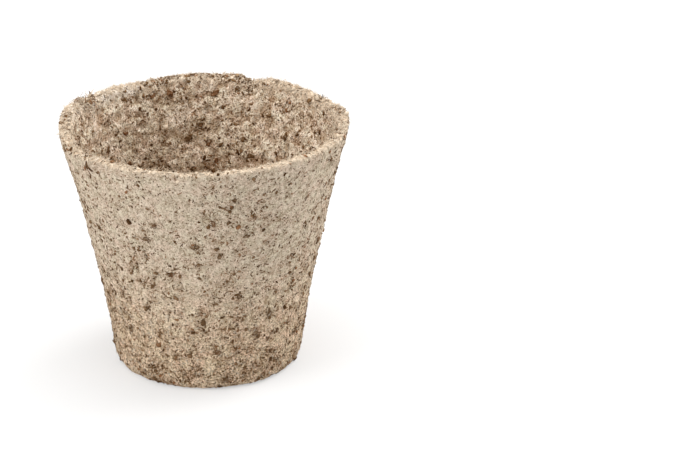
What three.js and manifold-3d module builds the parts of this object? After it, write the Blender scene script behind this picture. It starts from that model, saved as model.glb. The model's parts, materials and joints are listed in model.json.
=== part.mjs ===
// Coir pot: a round plant pot pressed from coir fibre, with coarse husk chips bedded in its skin.
// Millimetres, +Z up. The origin is the centre of the underside, where the pot stands on the ground.
import * as THREE from "three";
import { mergeVertices } from "three/addons/utils/BufferGeometryUtils.js";
import Module from "manifold-3d";

// Driving sizes of the moulded shell
const TOP_DIAMETER = 80; // outside, at the rim
const BASE_DIAMETER = 53; // outside, just above the foot
const HEIGHT = 70; // from the ground to the mean crest of the rim
const WALL = 3;
const FLOOR = 3.2;
const WALL_HOLLOW = 1.2; // how far the wall bows inwards of a straight cone, half way up
const FOOT_RADIUS = 2.2; // rounding from the underside into the wall
const INNER_CORNER = 5; // rounding from the inner wall into the floor
const LIP_EDGE = 1; // rounding of the rim's outer edge; the rest of the wall slopes off inwards

// Unevenness left by pressing loose fibre
const OVALITY = 0.3; // the rim is this much wider one way and narrower the other
const OVAL_ANGLE = 10;
const RIPPLE = 0.22; // shallow swells of the wall
const RIM_REACH = 0.3; // share of the height over which a rise or dip of the rim fades out
const RIM_RISES = [
  { angle: 170, spread: 13, lift: 1.9, thicken: 0.8 },
  { angle: 204, spread: 13, lift: -1.5, thicken: 0.2 },
  { angle: 118, spread: 10, lift: -0.6, thicken: 0 },
  { angle: 67, spread: 4.5, lift: -1.7, thicken: -0.3 },
  { angle: 34, spread: 13, lift: -0.9, thicken: -0.3 },
  { angle: 1, spread: 8, lift: 0.9, thicken: 0 },
  { angle: 300, spread: 28, lift: 0.4, thicken: 0.2 },
];

// Husk chips: thin broken flakes, bedded part of their thickness into the felt
const CHIP_THICKNESS = 1.4;
const CHIP_BEDDED = 0.9; // depth of a wall chip's seat under the skin
const RIM_CHIP_BEDDED = 0.7;
const RIM_CHIP_OVER = 0.58; // rim chips lie just inside the crest, which is half way over the lip
const CHIP_TAPER = 0.22; // share by which a chip narrows from its waist to its two faces
const CHIP_CLEARANCE = 0.3; // loose fit of a chip in its pocket
const CHIP_RAGGED = 0.13; // share by which the corners of a chip's outline reach out or draw in
const CHIP_SKEW = 0.25; // how far a corner strays towards its neighbour

// Where the chips lie: angle round the pot from the right-hand side, share of the height,
// length, width and turn of the chip in the skin
const OUTER_CHIPS = [
  { angle: 282, up: 0.88, length: 2.2, width: 1.8, turn: 60, husk: "dark" },
  { angle: 273, up: 0.78, length: 2.8, width: 1.8, turn: 80, husk: "red" },
  { angle: 288, up: 0.71, length: 2.8, width: 1.7, turn: 10, husk: "dark" },
  { angle: 291, up: 0.79, length: 2, width: 1.6, turn: 40, husk: "red" },
  { angle: 242, up: 0.69, length: 2.4, width: 2, turn: 30, husk: "dark" },
  { angle: 247, up: 0.76, length: 2.2, width: 1.6, turn: -20, husk: "red" },
  { angle: 240, up: 0.61, length: 2, width: 1.8, turn: 70, husk: "dark" },
  { angle: 265, up: 0.67, length: 2.8, width: 1.4, turn: 5, husk: "dark" },
  { angle: 276, up: 0.63, length: 2.6, width: 2, turn: 80, husk: "dark" },
  { angle: 252, up: 0.535, length: 2.2, width: 1.8, turn: 20, husk: "red" },
  { angle: 286, up: 0.43, length: 2.6, width: 1.9, turn: -15, husk: "dark" },
  { angle: 305, up: 0.32, length: 3.4, width: 1.5, turn: 85, husk: "dark" },
  { angle: 297, up: 0.245, length: 2.7, width: 2.2, turn: 70, husk: "dark" },
  { angle: 275, up: 0.175, length: 2.4, width: 1.9, turn: 15, husk: "red" },
  { angle: 280, up: 0.045, length: 2.6, width: 2, turn: 85, husk: "dark" },
  { angle: 236, up: 0.36, length: 2.4, width: 1.7, turn: 60, husk: "dark" },
  { angle: 221, up: 0.23, length: 2.3, width: 1.7, turn: 80, husk: "dark" },
  { angle: 340, up: 0.55, length: 2.6, width: 1.8, turn: 35, husk: "red" },
  { angle: 20, up: 0.74, length: 2.9, width: 1.8, turn: 15, husk: "dark" },
  { angle: 58, up: 0.4, length: 2.7, width: 2.1, turn: 75, husk: "red" },
  { angle: 95, up: 0.66, length: 2.4, width: 1.9, turn: 25, husk: "dark" },
  { angle: 128, up: 0.25, length: 3, width: 1.8, turn: 65, husk: "dark" },
  { angle: 164, up: 0.52, length: 2.5, width: 2, turn: -30, husk: "red" },
];
const INNER_CHIPS = [
  { angle: 98, up: 0.757, length: 2.4, width: 2.2, turn: 20, husk: "dark" },
  { angle: 88, up: 0.73, length: 2.6, width: 1.7, turn: 30, husk: "red" },
  { angle: 84, up: 0.66, length: 2.4, width: 1.8, turn: 60, husk: "red" },
  { angle: 133, up: 0.697, length: 2.8, width: 2.4, turn: 40, husk: "red" },
  { angle: 70, up: 0.753, length: 2.8, width: 2.5, turn: 70, husk: "dark" },
  { angle: 46, up: 0.797, length: 3.2, width: 1.6, turn: 85, husk: "dark" },
  { angle: 22, up: 0.88, length: 2.2, width: 1.6, turn: 80, husk: "dark" },
  { angle: 132, up: 0.82, length: 2.6, width: 1.6, turn: 5, husk: "red" },
  { angle: 146, up: 0.787, length: 2.3, width: 1.8, turn: 75, husk: "dark" },
  { angle: 114, up: 0.95, length: 2.8, width: 2.2, turn: 20, husk: "red" },
  { angle: 105.5, up: 0.945, length: 2.4, width: 2.2, turn: 60, husk: "red" },
  { angle: 84.5, up: 0.934, length: 3, width: 2, turn: 10, husk: "red" },
  { angle: 57, up: 0.865, length: 2.2, width: 1.8, turn: 35, husk: "dark" },
  { angle: 215, up: 0.62, length: 2.8, width: 1.9, turn: 70, husk: "dark" },
  { angle: 268, up: 0.48, length: 2.6, width: 2.1, turn: 20, husk: "red" },
  { angle: 318, up: 0.72, length: 2.7, width: 1.8, turn: 45, husk: "dark" },
  { angle: 92, up: 0.805, length: 2.8, width: 1.7, turn: 80, husk: "dark" },
  { angle: 65.5, up: 0.688, length: 3.2, width: 2, turn: 10, husk: "dark" },
];
const RIM_CHIPS = [
  { angle: 117, length: 2.6, width: 1.5, turn: 80, husk: "dark" },
  { angle: 106, length: 2.3, width: 1.6, turn: 20, husk: "dark" },
  { angle: 56, length: 2.2, width: 1.5, turn: 70, husk: "dark" },
  { angle: 162, length: 2.8, width: 1.5, turn: 85, husk: "red" },
  { angle: 70, length: 2.6, width: 1.8, turn: 70, husk: "dark" },
];
// Chips in the underside: angle, and share of the base radius out from the centre
const BASE_CHIPS = [
  { angle: 15, out: 0.62, length: 2.6, width: 1.9, turn: 10, husk: "dark" },
  { angle: 80, out: 0.45, length: 2.4, width: 1.8, turn: 60, husk: "red" },
  { angle: 140, out: 0.72, length: 3, width: 2, turn: -20, husk: "dark" },
  { angle: 195, out: 0.4, length: 2.2, width: 1.8, turn: 35, husk: "dark" },
  { angle: 250, out: 0.68, length: 2.8, width: 2.2, turn: 75, husk: "red" },
  { angle: 318, out: 0.55, length: 2.5, width: 1.6, turn: 5, husk: "dark" },
];

// How finely the curved faces are divided
const TURN_STEPS = 96;
const WALL_STEPS = 9;
const LIP_STEPS = 8;
const CORNER_STEPS = 3;

const DEGREE = Math.PI / 180;
const TOP_RADIUS = TOP_DIAMETER / 2;
const BASE_RADIUS = BASE_DIAMETER / 2;
const LIP_SLOPE = WALL - LIP_EDGE;
const WALL_END = HEIGHT - LIP_EDGE;
const INNER_WALL_END = HEIGHT - LIP_SLOPE;

const wasm = await Module();
wasm.setup();

const fibre = new THREE.MeshStandardMaterial({ name: "pressed_fibre", color: 0xb8a086, roughness: 0.95 });
const husks = {
  dark: new THREE.MeshStandardMaterial({ name: "dark_husk", color: 0x5a4330, roughness: 0.85 }),
  red: new THREE.MeshStandardMaterial({ name: "red_husk", color: 0x84502f, roughness: 0.85 }),
};

// Outside radius of the wall at a height: a cone that bows gently inwards.
function wallRadius(z) {
  const share = THREE.MathUtils.clamp((z - FOOT_RADIUS) / (WALL_END - FOOT_RADIUS), 0, 1);
  const cone = THREE.MathUtils.lerp(BASE_RADIUS, TOP_RADIUS, share);
  return cone - 4 * WALL_HOLLOW * share * (1 - share);
}

// A point of the rim's section: share 0 is the end of the outer wall, 1 that of the inner wall.
function lipPoint(share) {
  const over = share * Math.PI;
  const crest = TOP_RADIUS - LIP_EDGE;
  const outwards = over < Math.PI / 2;
  const reach = outwards ? LIP_EDGE : crest - wallRadius(INNER_WALL_END) + WALL;
  const drop = outwards ? LIP_EDGE : LIP_SLOPE;
  return new THREE.Vector2(crest + reach * Math.cos(over), HEIGHT - drop * (1 - Math.sin(over)));
}

// Half section of the shell, from the middle of the underside round to the middle of the floor.
function shellSection() {
  const floorEdge = FLOOR + INNER_CORNER;
  const innerFoot = wallRadius(floorEdge) - WALL;
  const points = [new THREE.Vector2(0, 0)];
  const foot = new THREE.QuadraticBezierCurve(
    new THREE.Vector2(BASE_RADIUS - FOOT_RADIUS, 0),
    new THREE.Vector2(BASE_RADIUS, 0),
    new THREE.Vector2(BASE_RADIUS, FOOT_RADIUS),
  );
  points.push(...foot.getPoints(CORNER_STEPS));
  for (let step = 1; step <= WALL_STEPS; step += 1) {
    const z = THREE.MathUtils.lerp(FOOT_RADIUS, WALL_END, step / WALL_STEPS);
    points.push(new THREE.Vector2(wallRadius(z), z));
  }
  for (let step = 1; step <= LIP_STEPS; step += 1) points.push(lipPoint(step / LIP_STEPS));
  for (let step = 1; step <= WALL_STEPS; step += 1) {
    const z = THREE.MathUtils.lerp(INNER_WALL_END, floorEdge, step / WALL_STEPS);
    points.push(new THREE.Vector2(wallRadius(z) - WALL, z));
  }
  const corner = new THREE.QuadraticBezierCurve(
    new THREE.Vector2(innerFoot, floorEdge),
    new THREE.Vector2(innerFoot, FLOOR),
    new THREE.Vector2(innerFoot - INNER_CORNER, FLOOR),
  );
  points.push(...corner.getPoints(CORNER_STEPS).slice(1));
  points.push(new THREE.Vector2(0, FLOOR));
  return points;
}

// Rise and thickening of the rim at an angle, in degrees round the pot.
function rimRise(angle) {
  const rise = { lift: 0, thicken: 0 };
  for (const bump of RIM_RISES) {
    const away = THREE.MathUtils.euclideanModulo(angle - bump.angle + 180, 360) - 180;
    const strength = Math.exp(-((away / bump.spread) ** 2));
    rise.lift += bump.lift * strength;
    rise.thicken += bump.thicken * strength;
  }
  return rise;
}

// Moves a point of the true turned form to where uneven pressing leaves it.
function pressed(point) {
  const turn = Math.atan2(point.y, point.x);
  const radius = Math.hypot(point.x, point.y);
  const up = THREE.MathUtils.clamp(point.z / HEIGHT, 0, 1);
  const rise = rimRise(turn / DEGREE);
  const nearRim = THREE.MathUtils.smoothstep(up, 1 - RIM_REACH, 1);
  const oval = OVALITY * up * Math.cos(2 * (turn - OVAL_ANGLE * DEGREE));
  const swell = Math.sin(3 * turn + 5 * up) + Math.sin(5 * turn - 8 * up + 1);
  const ripple = 0.5 * RIPPLE * swell * Math.sin(Math.PI * up);
  const fromAxis = Math.min(1, radius / BASE_RADIUS);
  const inwards = THREE.MathUtils.clamp((wallRadius(point.z) - radius) / WALL, 0, 1);
  const moved = radius + (oval + ripple) * fromAxis - rise.thicken * nearRim * inwards;
  return new THREE.Vector3(
    moved * Math.cos(turn),
    moved * Math.sin(turn),
    point.z + rise.lift * nearRim,
  );
}

function toSolid(geometry) {
  const bare = geometry.clone();
  bare.deleteAttribute("normal");
  bare.deleteAttribute("uv");
  const welded = mergeVertices(bare, 1e-4);
  const mesh = new wasm.Mesh({
    numProp: 3,
    vertProperties: new Float32Array(welded.attributes.position.array),
    triVerts: new Uint32Array(welded.index.array),
  });
  return new wasm.Manifold(mesh);
}

function toGeometry(solid) {
  const mesh = solid.getMesh();
  const geometry = new THREE.BufferGeometry();
  geometry.setAttribute("position", new THREE.BufferAttribute(mesh.vertProperties, 3));
  geometry.setIndex(new THREE.BufferAttribute(mesh.triVerts, 1));
  geometry.computeVertexNormals();
  return geometry;
}

// The plain shell, before any chip is bedded in it.
function shellGeometry() {
  const geometry = new THREE.LatheGeometry(shellSection(), TURN_STEPS);
  geometry.rotateX(Math.PI / 2);
  const place = geometry.attributes.position;
  const point = new THREE.Vector3();
  for (let index = 0; index < place.count; index += 1) {
    point.fromBufferAttribute(place, index);
    const moved = pressed(point);
    place.setXYZ(index, moved.x, moved.y, moved.z);
  }
  return geometry;
}

// A point of the pressed skin: outer wall, inner wall, crest of the rim or underside.
function skinPoint(side, angle, along) {
  const turn = angle * DEGREE;
  const at = (radius, z) => new THREE.Vector3(radius * Math.cos(turn), radius * Math.sin(turn), z);
  if (side === "base") return at(BASE_RADIUS * along, 0);
  if (side === "rim") {
    const lip = lipPoint(along);
    return pressed(at(lip.x, lip.y));
  }
  const z = along * HEIGHT;
  return pressed(at(wallRadius(z) - (side === "inner" ? WALL : 0), z));
}

// Stands a frame on the skin with Z pointing out of the material, sunk by the depth of the seat.
function seatFrame(side, chip, depth) {
  const along = { base: chip.out, rim: RIM_CHIP_OVER }[side] ?? chip.up;
  const step = 0.004; // a small way along the skin, to find its slope
  const origin = skinPoint(side, chip.angle, along);
  const round = skinPoint(side, chip.angle + 1, along).sub(skinPoint(side, chip.angle - 1, along));
  const across = skinPoint(side, chip.angle, along + step).sub(skinPoint(side, chip.angle, along - step));
  const out = round.clone().cross(across).normalize();
  if (side === "inner") out.negate();
  const length = round.normalize();
  const width = out.clone().cross(length).normalize();
  const frame = new THREE.Matrix4().makeBasis(length, width, out);
  frame.setPosition(origin.addScaledVector(out, -depth));
  return frame.multiply(new THREE.Matrix4().makeRotationZ(chip.turn * DEGREE));
}

// Broken outline of a chip, or of its looser pocket, with a few uneven corners.
function chipOutline(chip, grow) {
  const corners = 5 + (Math.round(chip.angle) % 3);
  const outline = new THREE.Shape();
  for (let corner = 0; corner < corners; corner += 1) {
    const turn = (2 * Math.PI * (corner + CHIP_SKEW * Math.sin(chip.angle + 2 * corner))) / corners;
    const ragged = CHIP_RAGGED * (Math.sin(chip.angle * 1.7 + 2.4 * corner) - 1);
    const reach = 1 + ragged;
    const x = ((chip.length / 2) * reach + grow) * Math.cos(turn);
    const y = ((chip.width / 2) * reach + grow) * Math.sin(turn);
    if (corner === 0) outline.moveTo(x, y);
    else outline.lineTo(x, y);
  }
  outline.closePath();
  return outline;
}

// A flake, widest at its waist, with a flat face to sit on.
function chipGeometry(chip) {
  const options = { depth: CHIP_THICKNESS, steps: 2, bevelEnabled: false };
  const geometry = new THREE.ExtrudeGeometry(chipOutline(chip, 0), options);
  const place = geometry.attributes.position;
  for (let index = 0; index < place.count; index += 1) {
    const fromWaist = Math.abs((2 * place.getZ(index)) / CHIP_THICKNESS - 1);
    const narrow = 1 - CHIP_TAPER * fromWaist;
    place.setX(index, place.getX(index) * narrow);
    place.setY(index, place.getY(index) * narrow);
  }
  return geometry;
}

function pocketGeometry(chip, depth) {
  const options = { depth: depth + CHIP_THICKNESS, bevelEnabled: false };
  return new THREE.ExtrudeGeometry(chipOutline(chip, CHIP_CLEARANCE), options);
}

// Beds one family of chips: cuts each pocket from the shell and seats the chip in it.
function bedChips(shell, pot, side, chips, depth) {
  let cut = shell;
  chips.forEach((chip, index) => {
    const frame = seatFrame(side, chip, depth);
    cut = cut.subtract(toSolid(pocketGeometry(chip, depth).applyMatrix4(frame)));
    const piece = new THREE.Mesh(chipGeometry(chip), husks[chip.husk]);
    piece.name = `${side}_husk_chip_${String(index + 1).padStart(2, "0")}`;
    piece.applyMatrix4(frame);
    pot.add(piece);
  });
  return cut;
}

const pot = new THREE.Group();
pot.name = "coir_pot";
let shell = toSolid(shellGeometry());
shell = bedChips(shell, pot, "outer", OUTER_CHIPS, CHIP_BEDDED);
shell = bedChips(shell, pot, "inner", INNER_CHIPS, CHIP_BEDDED);
shell = bedChips(shell, pot, "rim", RIM_CHIPS, RIM_CHIP_BEDDED);
shell = bedChips(shell, pot, "base", BASE_CHIPS, CHIP_THICKNESS);
const body = new THREE.Mesh(toGeometry(shell), fibre);
body.name = "fibre_shell";
pot.add(body);

export default pot;
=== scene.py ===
"""A coir pot: felted shell, bedded husk chips, crumbs and loose fibres, on a white studio floor."""
import json
import math
import random

import bmesh
import bpy
from mathutils import Matrix, Vector, kdtree, noise
from mathutils.bvhtree import BVHTree


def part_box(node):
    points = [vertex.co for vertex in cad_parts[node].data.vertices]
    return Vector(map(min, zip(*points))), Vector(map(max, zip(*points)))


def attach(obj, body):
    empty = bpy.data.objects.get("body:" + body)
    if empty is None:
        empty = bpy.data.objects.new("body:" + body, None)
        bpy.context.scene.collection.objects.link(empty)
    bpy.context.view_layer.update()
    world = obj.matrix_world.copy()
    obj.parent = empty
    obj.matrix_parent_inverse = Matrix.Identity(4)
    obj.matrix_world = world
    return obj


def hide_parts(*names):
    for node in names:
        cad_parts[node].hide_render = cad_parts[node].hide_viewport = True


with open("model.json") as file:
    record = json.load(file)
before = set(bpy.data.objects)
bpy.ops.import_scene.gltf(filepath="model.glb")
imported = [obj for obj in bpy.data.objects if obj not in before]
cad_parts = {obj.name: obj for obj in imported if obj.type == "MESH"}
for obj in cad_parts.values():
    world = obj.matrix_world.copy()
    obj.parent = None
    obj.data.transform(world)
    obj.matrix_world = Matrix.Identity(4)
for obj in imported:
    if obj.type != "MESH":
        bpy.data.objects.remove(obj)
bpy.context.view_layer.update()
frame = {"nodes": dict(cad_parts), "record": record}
NODES = frame["nodes"]
SLOTS = {row["node"]: row["material_slot"] for row in frame["record"]["subparts"]}
CHIP_NODES = sorted(name for name in NODES if "husk_chip" in name)

# Lengths are in millimetres unless said otherwise, and MM turns them into metres; bearings are in degrees
MM = 0.001
BOX_LOW, BOX_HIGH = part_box("fibre_shell")
TOP_RADIUS = (BOX_HIGH.x - BOX_LOW.x) / 2 / MM
HEIGHT = BOX_HIGH.z / MM
FULL_TURN = 2 * math.pi
UP = Vector((0, 0, 1))
DOWN = Vector((0, 0, -1))
WELD = 0.001

# The photograph's viewpoint, found by fitting the rim and the base
IMAGE_WIDTH = 700
EYE = Vector((0, -733.9, 353.4))
AIM_YAW = 3.17
AIM_PITCH = 23.26
FOCAL_PIXELS = 2822
SENSOR_WIDTH = 36
NEAREST_SEEN = 10

# The studio, in metres, with the lamps' power in watts
FLOOR_SIZE = 3
FLOOR_BOUNCE = (0.8, 0.8, 0.8, 1)
FLOOR_PAPER = (0.5, 0.5, 0.5, 1)
FLOOR_GLOW = 0.46
ROOM_WHITE = (1, 1, 1, 1)
ROOM_LIGHT = 0.45
LAMP_AIM = Vector((0, 0, 0.05))
SOFTBOXES = [
    {"name": "left_softbox", "place": (-0.82, -0.35, 0.556), "size": 0.8, "power": 4.4},
    {"name": "right_softbox", "place": (0.77, 0.445, 0.556), "size": 0.8, "power": 6.7},
    {"name": "overhead_softbox", "place": (0, -0.04, 1.05), "size": 0.9, "power": 7.0},
]

# Dry fibre and husk are matte
MATTE = 0.95
FAINT_SHINE = 0.03

# Tones of coir, from the darkest husk to the palest fibre, as places on the colour ramps below
DARK_TONE = 0.05
UMBER_TONE = 0.18
BROWN_TONE = 0.28
RUST_TONE = 0.38
TAN_TONE = 0.58
STRAW_TONE = 0.68
PALE_TONE = 0.78
CREAM_TONE = 0.9
WHITE_TONE = 0.99
TONE_STRAY = 0.035
LEAST_TONE = 0.01
TONE_STOPS = [
    (0.0, (0.078, 0.033, 0.011)),
    (0.18, (0.155, 0.082, 0.035)),
    (0.3, (0.255, 0.152, 0.076)),
    (0.38, (0.3, 0.135, 0.058)),
    (0.46, (0.39, 0.262, 0.15)),
    (0.6, (0.52, 0.425, 0.315)),
    (0.8, (0.695, 0.58, 0.45)),
    (0.92, (0.84, 0.695, 0.53)),
    (1.0, (1.0, 0.88, 0.745)),
]
# Outside, the darker tones are greyed by weather and dust
OUTER_TONE_STOPS = [
    (0.0, (0.076, 0.037, 0.015)),
    (0.18, (0.152, 0.086, 0.042)),
    (0.3, (0.25, 0.155, 0.085)),
    (0.38, (0.3, 0.14, 0.064)),
    (0.46, (0.385, 0.265, 0.16)),
] + TONE_STOPS[5:]


# Steps that all pieces share
def link(piece):
    bpy.context.scene.collection.objects.link(piece)
    return piece


def piece_from(name, form):
    """Makes an object from a bmesh, with its faces smooth."""
    mesh = bpy.data.meshes.new(name)
    form.to_mesh(mesh)
    form.free()
    mesh.shade_smooth()
    return link(bpy.data.objects.new(name, mesh))


def settle(piece):
    """Turns a piece's modifiers or curve into a plain mesh under the same name."""
    bpy.context.view_layer.update()
    shown = piece.evaluated_get(bpy.context.evaluated_depsgraph_get())
    mesh = bpy.data.meshes.new_from_object(shown)
    name = piece.name
    bpy.data.objects.remove(piece)
    mesh.name = name
    mesh.shade_smooth()
    return link(bpy.data.objects.new(name, mesh))


def add_mesh(form, other):
    """Adds a second bmesh to a first and frees it."""
    spare = bpy.data.meshes.new("spare")
    other.to_mesh(spare)
    other.free()
    form.from_mesh(spare)
    bpy.data.meshes.remove(spare)


def wear(piece, material):
    """Gives a piece its finish and lets it ride on the pot."""
    piece.data.materials.clear()
    piece.data.materials.append(material)
    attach(piece, "root")
    return piece


def clamp(value):
    return min(1, max(0, value))


def out_of(turn, radius, z):
    """A point at an angle, in radians, and a distance from the pot's axis."""
    return Vector((radius * math.cos(turn), radius * math.sin(turn), z))


# Steps that the materials share
def shade(tree, kind, inputs=None, **settings):
    """Adds a node, with its settings, and its inputs set to values or joined to sockets."""
    made = tree.nodes.new("ShaderNode" + kind)
    for name, value in settings.items():
        setattr(made, name, value)
    for name, value in (inputs or {}).items():
        if isinstance(value, bpy.types.NodeSocket):
            tree.links.new(value, made.inputs[name])
        else:
            made.inputs[name].default_value = value
    return made


def ramp(tree, factor, stops):
    """A colour ramp through the given stops, each a place and a linear colour."""
    made = shade(tree, "ValToRGB", {"Fac": factor})
    band = made.color_ramp
    while len(band.elements) < len(stops):
        band.elements.new(0.5)
    for element, (place, colour) in zip(band.elements, stops):
        element.position = place
        element.color = (*colour, 1)
    return made.outputs["Color"]


def blend(tree, factor, low, high, how="MIX"):
    """Mixes two colours; the Mix node's first input is its factor, and the colours are inputs 6 and 7."""
    made = shade(tree, "Mix", data_type="RGBA", blend_type=how)
    for place, value in ((0, factor), (6, low), (7, high)):
        if isinstance(value, bpy.types.NodeSocket):
            tree.links.new(value, made.inputs[place])
        elif place == 0:
            made.inputs[place].default_value = value
        else:
            made.inputs[place].default_value = (*value, 1)
    return made.outputs[2]


def times(tree, colour, tint):
    return blend(tree, 1.0, colour, tint, "MULTIPLY")


def toned(tree, share, colour, tint):
    """A colour that turns into itself times a tint, by the given share."""
    return blend(tree, share, colour, times(tree, colour, tint))


def stretch(tree, value, low, high, to_low=0.0, to_high=1.0, smooth=False):
    """Maps a value from one range to another."""
    how = "SMOOTHSTEP" if smooth else "LINEAR"
    inputs = {"Value": value, "From Min": low, "From Max": high, "To Min": to_low, "To Max": to_high}
    return shade(tree, "MapRange", inputs, interpolation_type=how).outputs["Result"]


def between(tree, share, at_none, at_full):
    """A level that follows a share, from none of it to all of it."""
    return stretch(tree, share, 0.0, 1.0, at_none, at_full)


def reckon(tree, how, first, second):
    made = shade(tree, "Math", operation=how)
    for place, value in enumerate((first, second)):
        if isinstance(value, bpy.types.NodeSocket):
            tree.links.new(value, made.inputs[place])
        else:
            made.inputs[place].default_value = value
    return made.outputs["Value"]


def weigh(tree, first, second, share):
    """A weighted mean of two values."""
    part = reckon(tree, "MULTIPLY", first, share)
    return reckon(tree, "ADD", part, reckon(tree, "MULTIPLY", second, 1 - share))


def grey(tree, value):
    return shade(tree, "CombineColor", {"Red": value, "Green": value, "Blue": value}).outputs["Color"]


def new_material(name):
    """A material with a matte Principled surface; returns the material, its tree and the surface."""
    material = bpy.data.materials.new(name)
    material.use_nodes = True
    tree = material.node_tree
    surface = tree.nodes["Principled BSDF"]
    surface.inputs["Roughness"].default_value = MATTE
    surface.inputs["Specular IOR Level"].default_value = FAINT_SHINE
    return material, tree, surface


def millimetres(tree):
    """Places on the piece, in millimetres."""
    coords = shade(tree, "TexCoord")
    inputs = {0: coords.outputs["Object"], "Scale": 1 / MM}
    return shade(tree, "VectorMath", inputs, operation="SCALE").outputs["Vector"]


def mottle(tree, place, size, detail=3.0, rough=0.6, wisps=0.0):
    """Even noise with lumps of the given size, drawn out into wisps where asked."""
    inputs = {"Vector": place, "Scale": 1 / size, "Detail": detail, "Roughness": rough, "Distortion": wisps}
    return shade(tree, "TexNoise", inputs)


def shaken(tree, place, size, reach):
    """Places pushed about by noise, so that what is drawn on them has ragged edges."""
    stray = mottle(tree, place, size).outputs["Color"]
    inputs = {0: stray, 1: (0.5, 0.5, 0.5)}
    shift = shade(tree, "VectorMath", inputs, operation="SUBTRACT").outputs["Vector"]
    push = shade(tree, "VectorMath", {0: shift, "Scale": reach}, operation="SCALE").outputs["Vector"]
    return shade(tree, "VectorMath", {0: place, 1: push}).outputs["Vector"]


def roughen(tree, surface, height, strength, depth):
    """Raises a finish's finest grain, by up to the given depth."""
    bump = shade(tree, "Bump", {"Height": height, "Strength": strength, "Distance": depth * MM})
    tree.links.new(bump.outputs["Normal"], surface.inputs["Normal"])


# Camera, floor and light
def set_camera():
    camera = bpy.data.cameras.new("viewpoint")
    camera.sensor_width = SENSOR_WIDTH
    camera.lens = FOCAL_PIXELS / IMAGE_WIDTH * SENSOR_WIDTH
    camera.clip_start = NEAREST_SEEN * MM
    viewpoint = link(bpy.data.objects.new("viewpoint", camera))
    yaw = math.radians(AIM_YAW)
    pitch = math.radians(AIM_PITCH)
    aim = Vector((math.sin(yaw) * math.cos(pitch), math.cos(yaw) * math.cos(pitch), -math.sin(pitch)))
    viewpoint.location = EYE * MM
    viewpoint.rotation_euler = aim.to_track_quat("-Z", "Y").to_euler()
    bpy.context.scene.camera = viewpoint


def floor_material():
    """White where it is seen, with the pot's shadow in it; to other light it is plain pale paper."""
    material = bpy.data.materials.new("white_floor")
    material.use_nodes = True
    tree = material.node_tree
    tree.nodes.clear()
    path = shade(tree, "LightPath")
    seen = reckon(tree, "MAXIMUM", path.outputs["Is Camera Ray"], path.outputs["Is Glossy Ray"])
    seen = reckon(tree, "MAXIMUM", seen, path.outputs["Is Transmission Ray"])
    bounce = shade(tree, "BsdfDiffuse", {"Color": FLOOR_BOUNCE})
    shadow = shade(tree, "BsdfDiffuse", {"Color": FLOOR_PAPER})
    glow = shade(tree, "Emission", {"Strength": FLOOR_GLOW})
    paper = shade(tree, "AddShader")
    tree.links.new(shadow.outputs[0], paper.inputs[0])
    tree.links.new(glow.outputs[0], paper.inputs[1])
    mixed = shade(tree, "MixShader", {"Fac": seen})
    tree.links.new(bounce.outputs[0], mixed.inputs[1])
    tree.links.new(paper.outputs[0], mixed.inputs[2])
    output = shade(tree, "OutputMaterial")
    tree.links.new(mixed.outputs[0], output.inputs["Surface"])
    return material


def white_stage():
    form = bmesh.new()
    bmesh.ops.create_grid(form, x_segments=1, y_segments=1, size=FLOOR_SIZE)
    floor = piece_from("studio_floor", form)
    floor.data.materials.append(floor_material())


def lamp(name, place, size, power):
    light = bpy.data.lights.new(name, "AREA")
    light.shape = "DISK"
    light.size = size
    light.energy = power
    holder = link(bpy.data.objects.new(name, light))
    holder.location = place
    holder.rotation_euler = (LAMP_AIM - Vector(place)).to_track_quat("-Z", "Y").to_euler()


def studio_light():
    world = bpy.data.worlds.new("white_room")
    world.use_nodes = True
    world.node_tree.nodes["Background"].inputs["Color"].default_value = ROOM_WHITE
    world.node_tree.nodes["Background"].inputs["Strength"].default_value = ROOM_LIGHT
    bpy.context.scene.world = world
    bpy.context.scene.view_settings.view_transform = "Standard"
    for softbox in SOFTBOXES:
        lamp(**softbox)


# The felted shell: how it is pressed round the chips
VOXEL = 0.68
PRESSES = 3
PRESS_FORCE = 0.5
CHIP_SWELL = 1.3
CHIP_SHOWS = 0.7


def centre_of(node):
    low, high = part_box(node)
    return (low + high) / 2


def facing(node):
    """The way a chip's broad face looks out of the felt."""
    centre = centre_of(node)
    outwards = Vector((centre.x, centre.y, 0)).normalized()
    side = {"outer": outwards, "inner": -outwards, "rim": UP, "base": -UP}[node.split("_")[0]]
    return max((face.normal for face in NODES[node].data.polygons), key=side.dot).copy()


def felt_form():
    """The shell in one fine even skin that closes round each chip but leaves its face bare."""
    form = bmesh.new()
    form.from_mesh(NODES["fibre_shell"].data)
    for name in CHIP_NODES:
        chip = bmesh.new()
        chip.from_mesh(NODES[name].data)
        centre = Matrix.Translation(centre_of(name))
        bmesh.ops.scale(chip, vec=(CHIP_SWELL,) * 3, space=centre.inverted(), verts=chip.verts)
        bmesh.ops.translate(chip, vec=-facing(name) * CHIP_SHOWS * MM, verts=chip.verts)
        add_mesh(form, chip)
    bmesh.ops.remove_doubles(form, verts=form.verts, dist=WELD * MM)
    piece = piece_from("pressed_felt_shell", form)
    felting = piece.modifiers.new("felting", "REMESH")
    felting.mode = "VOXEL"
    felting.voxel_size = VOXEL * MM
    pressing = piece.modifiers.new("pressing", "SMOOTH")
    pressing.factor = PRESS_FORCE
    pressing.iterations = PRESSES
    return settle(piece)


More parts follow.
